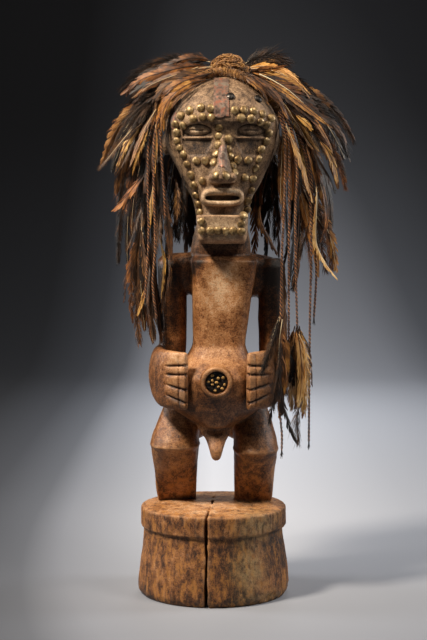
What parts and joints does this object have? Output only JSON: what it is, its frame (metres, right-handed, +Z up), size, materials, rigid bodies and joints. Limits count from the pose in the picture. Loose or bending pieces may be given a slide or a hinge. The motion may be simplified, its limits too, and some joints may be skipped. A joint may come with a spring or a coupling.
{
  "type": "carved wooden power figure with feather headdress",
  "caption": "Standing carved wood figure on a round base, with tacked and copper-patched face, navel charge and a headdress of feathers and twisted cords.",
  "frame": {"origin": "centre of the round base's underside", "axes": "+Z up along the figure, which faces -Y; +X at the viewer's right"},
  "size_m": [0.3603, 0.2139, 0.7358],
  "materials": {
    "wood": "hand-carved hardwood with an oiled, worn patina, greyer and dustier on the face",
    "resin": "black resin charge with golden seeds pressed in",
    "copper": "beaten sheet copper, dulled and reddish",
    "brass": "domed brass tacks, aged to an olive gold and rubbed bright on top",
    "iron": "dark iron tacks",
    "fibre": "knotted plant fibre, ochre",
    "cord": "two-ply twisted plant-fibre cord, orange brown",
    "feather": "cock and guinea-fowl feathers in rust, gold, dark brown and grey brown"
  },
  "bodies": {
    "root": {"figure": "wood", "navel_charge": "resin", "forehead_copper": "copper", "nose_copper": "copper", "temple_copper": "copper", "jaw_tacks_left": "brass", "chin_tacks": "brass", "jaw_tacks_right": "brass", "brow_tacks_left_upper": "brass", "brow_tacks_left_lower": "brass", "brow_tacks_right_upper": "brass", "brow_tacks_right_lower": "brass", "cheek_tacks_left": "brass", "cheek_tacks_right": "brass", "nose_tacks_right": "brass", "bridge_tacks": "brass", "nostril_tack_left": "brass", "mouth_tack_left": "brass", "mouth_tack_right": "brass", "forehead_tack_middle": "iron", "forehead_tack_right": "iron", "crown_knot": "fibre", "head_band": "fibre", "cord_left_brow": "cord", "cord_left_long": "cord", "cord_left_inner": "cord", "cord_right_long": "cord", "cord_right_tassel": "cord", "cord_right_inner": "cord", "cord_right_outer": "cord", "cord_right_short": "cord", "feathers_crown_left": "feather", "feathers_brow_left": "feather", "feathers_left_high": "feather", "feathers_left_out": "feather", "feathers_left_side": "feather", "feathers_left_front": "feather", "feathers_left_back": "feather", "feathers_left_long": "feather", "feathers_left_lowest": "feather", "feathers_behind_left": "feather", "feathers_behind": "feather", "feathers_behind_right": "feather", "feathers_crown_back": "feather", "feathers_crown_right": "feather", "feathers_right_high": "feather", "feathers_right_out": "feather", "feathers_right_side": "feather", "feathers_right_front": "feather", "feathers_right_hang": "feather", "feathers_right_low": "feather", "feathers_right_back": "feather", "tassel_right_long": "feather", "tassel_right_front": "feather", "tassel_right_inner": "feather"}
  },
  "joints": []
}
